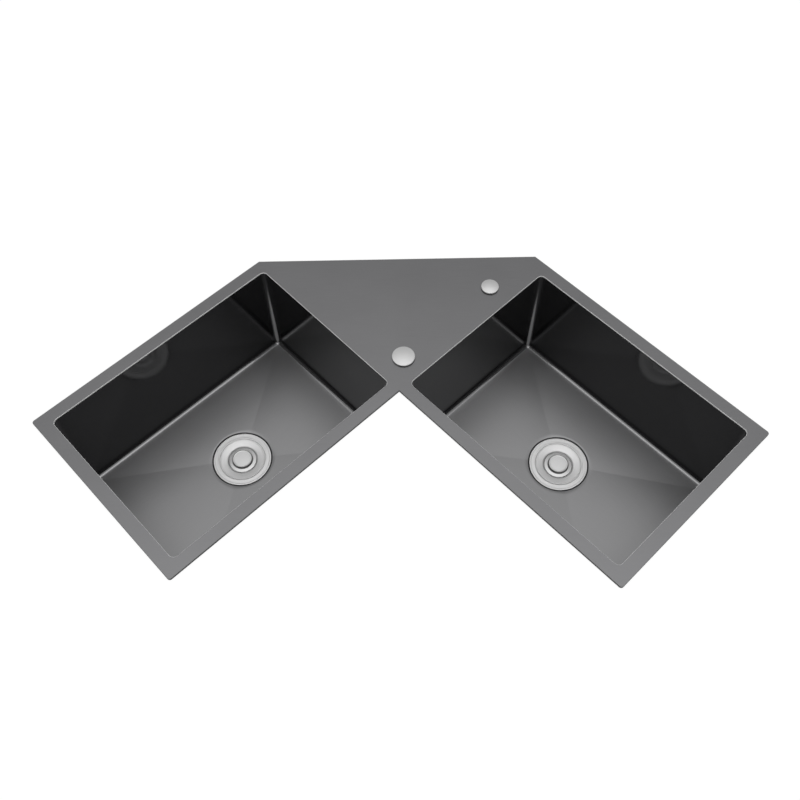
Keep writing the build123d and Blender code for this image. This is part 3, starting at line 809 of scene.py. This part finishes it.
def disc_of_holes(centre, level, count, circle, hole, inner, outer, steps):
    """A flat ring pierced by count round holes: each sector's window, in (angle, radius), is
    laid out flat. A point (x, y) of the hole's circle has the angle atan2(x, y + circle), and
    its radius is the length of (x, y + circle)."""
    middle = (inner + outer) / 2

    def outline(q):
        x, y = round_hole(hole)(q).T
        return np.c_[np.arctan2(x, y + circle), np.hypot(x, y + circle) - middle]

    angle, radius = np.moveaxis(window(outline, 2 * np.pi / count, outer - inner, 4, steps), -1, 0)
    return sectors(centre, count, angle, radius + middle, level)


cup_upper = rounded([
    (56.6, -0.98, 0), (57, -0.5, 0.2), (57, 0, 0.55), (54.3, 0, 0.9), (53.4, -0.45, 0.6),
    (48.4, -0.45, 0.5), (47.9, -0.25, 0.4), (45.5, -0.25, 0.6), (45.5, -1.2, 0.3),
    (43.3, -1.2, 0.9), (36, -10, 3), (36, -42, 3), (20.5, -42, 0),
])
cup_middle = rounded([(6.5, -42, 0), (3.2, -42, 0)])
for side in sides:
    top, centre = flange_top[side], drains[side]
    holes_ring = disc_of_holes(centre, top - 0.042, count=6, circle=0.0135, hole=0.005,
                               inner=0.0065, outer=0.0205, steps=16)
    skins = [turned(lifted(path, top), centre) for path in (cup_upper, cup_middle)]
    piece(f"{side}_strainer_cup", [skins[0], *holes_ring, skins[1]], wall=0.00055)

# %% [markdown]
# The basket hangs in the cup by its rim. Its dish bends into a pot with twenty upright slots and
# twelve floor holes, and a collar drawn up from the floor guides the stem. An array of cutters
# could pierce it, but windows give each slot the same even rows, and the whole basket stays one
# closed sheet.


# %% Baskets
def wall_of_slots(centre, radius, low, high, count, half_width, half_height, middle, steps):
    """A cylinder pierced by count upright slots: each sector's window, in (angle, height), is
    wrapped round."""

    def outline(q):
        return slot_hole(half_width, half_height)(q) / (radius, 1) + (0, middle - (low + high) / 2)

    angle, height = np.moveaxis(window(outline, 2 * np.pi / count, high - low, 3, steps), -1, 0)
    return sectors(centre, count, angle, radius, height + (low + high) / 2)


basket_upper = rounded([
    (44.1, -0.88, 0), (44.7, -0.7, 0.3), (44.7, -0.1, 0.4), (42.9, -0.1, 0.6), (42.2, -0.45, 0.6),
    (27.2, -2.1, 5), (27.2, -8.5, 0),
])
basket_bend = rounded([(27.2, -24.6, 0), (27.2, -29.2, 2), (20.5, -29.2, 0)])
basket_hub = rounded([
    (13.5, -29.2, 0), (7.1, -29.2, 1), (7.1, -21.2, 1.2), (3.65, -21.2, 0.8), (3.65, -29.9, 0),
])
for side in sides:
    top, centre = flange_top[side], drains[side]
    slots = wall_of_slots(centre, 0.0272, top - 0.0246, top - 0.0085, count=20,
                          half_width=0.0012, half_height=0.007, middle=top - 0.01655, steps=6)
    floor_holes = disc_of_holes(centre, top - 0.0292, count=12, circle=0.017, hole=0.0022,
                                inner=0.0135, outer=0.0205, steps=10)
    paths = (basket_upper, basket_bend, basket_hub)
    skins = [turned(lifted(path, top), centre, 120) for path in paths]
    piece(f"{side}_basket", [skins[0], *slots, skins[1], *floor_holes, skins[2]], wall=0.0008)

# %% [markdown]
# The knob is turned from solid bar: a head with a wide soft edge, an undercut for the fingertips
# and a sloping collar that shades the pot. The stopper under the basket is moulded rubber with a
# thin sealing lip. Both could be stacked from bevelled cylinders; one section turned about the axis
# gives every rounding at once.

# %% Knobs and stoppers
knob = rounded([
    (0, 1.55, 0), (15.6, 1.55, 1), (16.2, 1.3, 0.3), (16.8, 1.55, 0.4), (18.2, 1.8, 0.8),
    (19.6, 1.6, 0.6), (19.6, -1.6, 0.4), (18.8, -1.6, 0.2), (18.8, -2.6, 0.5), (27, -3.9, 0.6),
    (27, -6.4, 0.6), (3.5, -6.4, 0), (3.5, -4.4, 0), (0, -4.4, 0),
])
stopper = rounded([
    (3.55, 0, 0.2), (19.6, 0, 0.8), (21, -2, 0.8), (21, -3.6, 0.3), (20.7, -5.4, 0.5),
    (18.2, -5.4, 0.4), (18.2, -2.4, 0.8), (3.55, -2, 0.2),
])
for side in sides:
    piece(f"{side}_knob", [turned(lifted(knob, flange_top[side]), drains[side], 128)])
    rubber_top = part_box(f"{side}_stopper")[1].z
    piece(f"{side}_stopper", [turned(lifted(stopper, rubber_top), drains[side], loop=True)])

# %% [markdown]
# Seals are rings cut or moulded from rubber: pressed flat, they bulge a little at their edges. A
# cloth or soft body simulation could press them, but the squeeze never changes, so the bulge is
# drawn into the section.


# %% Seals and gaskets
def bulged(inner, outer, low, high, bulge=0.5):
    """A flat ring's section whose outer edge bulges, in millimetres."""
    soft = (high - low) / 3
    return rounded([
        (inner, low, soft / 2), (outer, low, soft / 2), (outer + bulge, (low + high) / 2, soft),
        (outer, high, soft / 2), (inner, high, soft / 2),
    ])


hole_radius = {"tap_hole": 17.5, "dispenser_hole": 14.0}
for side in sides:
    low, high = (corner.z * 1000 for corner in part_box(f"{side}_flange_seal"))
    section = bulged(46.8, 57, low, high, bulge=1.7)
    piece(f"{side}_flange_seal", [turned(section, drains[side], loop=True)])
for hole in holes:
    low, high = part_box(f"{hole}_gasket")
    radius = (high.x - low.x) * 500
    section = bulged(hole_radius[hole], radius, low.z * 1000, high.z * 1000)
    piece(f"{hole}_gasket", [turned(section, middle(f"{hole}_cap"), loop=True)])

# %% [markdown]
# The covers are stainless caps, pressed to a low dome with a rolled edge, on a threaded stud. A
# ribbed disc and a wing nut pull each of them down from below. A cap and its stud are welded, so
# they are one turned section. The disc's ribs could be bars of their own; here the points of a
# plain disc are pushed down along a power of a cosine, which leaves no seams.


# %% Covers
def cover(hole):
    """Over the dome z = top - 1.7 (r / R)^2 mm, round the edge, into the hollow and down the
    threaded stud."""
    low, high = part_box(f"{hole}_cap")
    radius, top = (high.x - low.x) / 2, high.z
    share = np.linspace(0, 1, 14)
    dome = np.c_[share * (radius - 0.0016), top - 0.0017 * share ** 2]
    mm = radius * 1000
    edge = rounded([
        (mm - 0.9, -1.75, 0), (mm, -2.0, 0.8), (mm, -4.6, 0.3), (mm - 1.3, -4.6, 0.3),
        (mm - 1.6, -3.6, 0.4), (3, -3.6, 0.5), (3, -4.4, 0),
    ])
    stud = rungs(screw_radius, top - 0.0046, low.z + 0.0005, screw_step)
    tip = np.array([[0.0025, low.z], [0, low.z]])
    section = np.vstack([dome, lifted(edge, top), stud, tip])
    winding = thread(screw_pitch, screw_depth, low.z + 0.0005, top - 0.006)
    return turned(section, middle(f"{hole}_cap"), warp=winding)


def clamp_disc(hole):
    """A disc with a raised rim and eight ribs: below its top the section is 2 mm deep at the rim
    and 1.9 mm at the hub; between them it is 1.2 mm plus 0.7 mm cos(4t)^12."""
    low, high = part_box(f"{hole}_clamp_disc")
    radius, centre = (high.x - low.x) * 500, middle(f"{hole}_cap")
    section = rounded([
        (3.3, 0, 0.2), (radius, 0, 0.5), (radius, -2, 0.5), (radius - 3, -2, 0.3),
        (radius - 3.6, -1.2, 0.3), (9.6, -1.2, 0.3), (9, -1.9, 0.3), (3.3, -1.9, 0.2),
    ])
    points, faces = turned(lifted(section, high.z), centre, 144, loop=True)
    x, y = (points[:, :2] - centre).T
    distance, web_from, web_to = np.hypot(x, y), 0.0098, radius * 0.001 - 0.0037
    webs = (distance > web_from) & (distance < web_to) & (points[:, 2] < high.z - 0.001)
    points[:, 2] -= webs * 0.0007 * np.cos(4 * np.arctan2(y, x)) ** 12
    return points, faces


for hole in holes:
    piece(f"{hole}_cap", [cover(hole)])
    piece(f"{hole}_clamp_disc", [clamp_disc(hole)])

# %% [markdown]
# Twelve clips hold the deck to the worktop: a stud welded below the deck, a bent steel claw and a
# wing nut. They are shared out along the edges, 14 mm in, so the same few formulas place them here
# as on the real sink.

# %% Where the clips are
stud_set_in, clip_end_distance = 0.014, 0.105
past_right_bowl, past_left_bowl = 0.036, 0.007
deck_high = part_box("deck_plate")[1]
bowl_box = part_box("right_bowl")
inset = bowl_sheet + bowl_lip
near_clip = bowl_box[0].x + inset + clip_end_distance
far_clip = bowl_box[1].x - inset - clip_end_distance
width, length = deck_high.y, deck_high.x
back_ends = (-past_right_bowl, width), (-width, past_left_bowl)
runs = [
    ((0, 0), (length, 0), (near_clip, far_clip)),
    ((length, 0), (length, width), (width / 2,)),
    ((length, width), (0, width), (length - far_clip, length - near_clip)),
]
runs += [((-b, -a), (-d, -c), marks) for (a, b), (c, d), marks in runs]
back_length = math.dist(*back_ends)
runs.append((*back_ends, (back_length / 4, back_length * 3 / 4)))
clips = []
for index, (start, end, marks) in enumerate(runs):
    along = (Vector(end) - Vector(start)).normalized()
    outward = Vector((along.y, -along.x)) * (-1 if 3 <= index < 6 else 1)
    clips += [(Vector(start) + along * mark - outward * stud_set_in, outward) for mark in marks]
print("clips:", [tuple(round(v, 3) for v in spot) for spot, outward in clips])

# %% [markdown]
# One clip is drawn once, about its own stud with x towards the rim, and its nets are turned and
# moved to every spot. Linked copies would be lighter, but one piece has to stand for all twelve of
# a kind.


# %% Studs, claws and wing nuts
def placed(nets, spot, outward, height):
    """Nets drawn with x outward, moved to a spot: with outward (c, s), x runs along (c, s) and
    y along (-s, c)."""
    turn = np.array([(outward[0], outward[1], 0), (-outward[1], outward[0], 0), (0, 0, 1)])
    return [(points @ turn + (*spot, height), faces) for points, faces in nets]


def claw():
    """A strip bent up through a quarter circle: flat with a hole for the stud, then the bend,
    then the tooth, whose upper edge is cut to a saw: 9 - 0.9 |2 f - 1| mm, with f the fraction
    of y / 4 mm."""
    half, tail, flat_end, bend, tooth_at, tooth_top = 0.0078, 0.0087, 0.0080, 0.003, 0.011, 0.009
    plan = window(round_hole(0.0034), 2 * flat_end, 2 * half, 5, 8)
    x = np.where(plan[..., 0] < -0.004, plan[..., 0] * tail / flat_end, plan[..., 0])
    flat = net(np.dstack([x, plan[..., 1], 0 * x]))
    y = np.linspace(-half, half, 9)
    angle = np.linspace(0, np.pi / 2, 7)
    curve = np.c_[tooth_at - bend + bend * np.sin(angle), bend * (1 - np.cos(angle))]
    path = np.r_[[(flat_end, 0)], curve, [(tooth_at, 0.0065)], [(tooth_at, tooth_top)]]
    saw = abs(2 * ((y / 0.004) % 1) - 1)
    rise = path[:, 1:] - 0.0009 * saw * (path[:, 1:] > 0.008)
    strip = np.dstack([path[:, :1] + 0 * y, y + 0 * rise, rise])
    index = np.arange(strip.shape[0] * len(y)).reshape(-1, len(y))
    return [flat, (strip.reshape(-1, 3), cells(index))]


def wing_nut():
    """A tapered hub with two slabs for wings, below a seat at z = 0."""
    section = rounded([(3.1, 0, 0.2), (5.5, 0, 0.5), (5.1, -7, 0.9), (3.1, -7, 0.4)])
    hub = turned(section, (0, 0), 32, loop=True)
    outline = rounded([
        (3.5, -2.8, 0.5), (12, -5.5, 1.6), (12, -12, 2.3), (7, -12, 2), (3.5, -6.9, 1),
    ])
    wings = [slab(outline, 0.0011, lambda a, b, d, way=way: np.dstack([d, way * a, b]))
             for way in (1, -1)]
    return [hub, *wings]


def at_every_clip(nets, height):
    """Copies of the nets at all twelve spots."""
    return [part for spot, outward in clips for part in placed(nets, spot, outward, height)]


stud_end, deck_under = (corner.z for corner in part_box("clip_studs"))
strip_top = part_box("clip_claws")[1].z - 0.009
nut_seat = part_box("clip_wing_nuts")[1].z
spots = [spot for spot, outward in clips]
piece("clip_studs", studs(spots, screw_radius, deck_under, stud_end, pitch=0.00125))
piece("clip_claws", at_every_clip(claw(), strip_top), wall=0.002)
piece("clip_wing_nuts", at_every_clip(wing_nut(), nut_seat))
for hole in holes:
    nut_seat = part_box(f"{hole}_wing_nut")[1].z
    piece(f"{hole}_wing_nut", placed(wing_nut(), middle(f"{hole}_cap"), (1, 0), nut_seat))

# %% [markdown]
# Below each drain hangs a moulded plastic body: a flange under the bowl, a ribbed shell round the
# cup, a cone and an outlet with a coarse thread. Three arms inside carry the boss that the clamp
# screw pulls on. Ribs and thread could be swept bars; as a change of radius they stay part of one
# closed skin.


# %% Waste bodies and clamp screws
def waste_body(centre, top):
    """The closed section in millimetres below the flange's top. Between its eight ribs the shell
    lies 0.8 (1 - cos(4t)^12) mm deeper, and the outlet has a thread of 2.3 mm pitch."""
    shell = rounded([
        (45.5, -5.7, 0.3), (53, -5.7, 0.5), (53, -8.7, 0.8), (46.8, -8.7, 1), (41.5, -12.9, 2),
        (41.5, -53, 3), (23.9, -65, 1.5), (23.9, -66, 0),
    ])
    ladder = rungs(0.0239, -0.066, -0.0885, 0.0003)
    inside = rounded([
        (23.4, -89, 0), (20.5, -89, 0.4), (20.5, -65, 1.5), (38.2, -54, 3), (38.2, -11.2, 2),
    ])
    section = lifted(np.vstack([shell, ladder, inside]), top)
    winding = thread(0.0023, 0.0011, top - 0.0875, top - 0.067)

    def warp(r, z, t):
        ribbed, outlet = (r > 0.0395) & (r < 0.0418) & (z < top - 0.014), r < 0.024
        return np.where(outlet, winding(r, z, t), r) - ribbed * 0.0008 * (1 - np.cos(4 * t) ** 12)

    boss = rounded([(3.05, -45, 0.3), (6.5, -45, 0.6), (6.5, -54, 0.6), (3.05, -54, 0.3)])
    outline = rounded([(5, -45, 0.5), (38.4, -45, 0.5), (38.4, -54, 0.5), (5, -54, 0.5)])
    arm = slab(lifted(outline, top), 0.0015, lambda a, b, d: np.dstack([a, d, b]))
    ways = [(math.cos(turn), math.sin(turn)) for turn in (0, 2 * np.pi / 3, 4 * np.pi / 3)]
    return [
        turned(section, centre, 144, loop=True, warp=warp),
        turned(lifted(boss, top), centre, 48, loop=True),
        *(part for way in ways for part in placed([arm], centre, way, 0)),
    ]


def clamp_screw(centre, top):
    """A domed head with a hexagonal socket on a thread. The socket's radius follows
    R cos(30) / cos((t mod 60) - 30), in degrees."""
    head = rounded([
        (0, -40.6, 0), (2.3, -40.6, 0), (2.3, -39.5, 0.15), (4.3, -39.4, 0.6), (5.5, -41.2, 0.6),
        (5.5, -42, 0.2), (3, -42, 0),
    ])
    shank = rungs(screw_radius, -0.0425, -0.0535, screw_step)
    section = lifted(np.vstack([head, shank, [(0.0025, -0.054), (0, -0.054)]]), top)
    winding = thread(screw_pitch, screw_depth, top - 0.0532, top - 0.043)

    def warp(r, z, t):
        hexagon = math.cos(np.pi / 6) / np.cos(t % (np.pi / 3) - np.pi / 6)
        socket = (z > top - 0.0407) & (r < 0.0024)
        return winding(r, z, t) * np.where(socket, hexagon, 1)

    return [turned(section, centre, 36, warp=warp)]


for side in sides:
    piece(f"{side}_waste_body", waste_body(drains[side], flange_top[side]))
    piece(f"{side}_clamp_screw", clamp_screw(drains[side], flange_top[side]))

# %% [markdown]
# Last, the box of the dressed sink is measured.

# %% Size of the dressed sink
low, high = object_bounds()
print("visual size in metres:", [round(v, 4) for v in high - low])
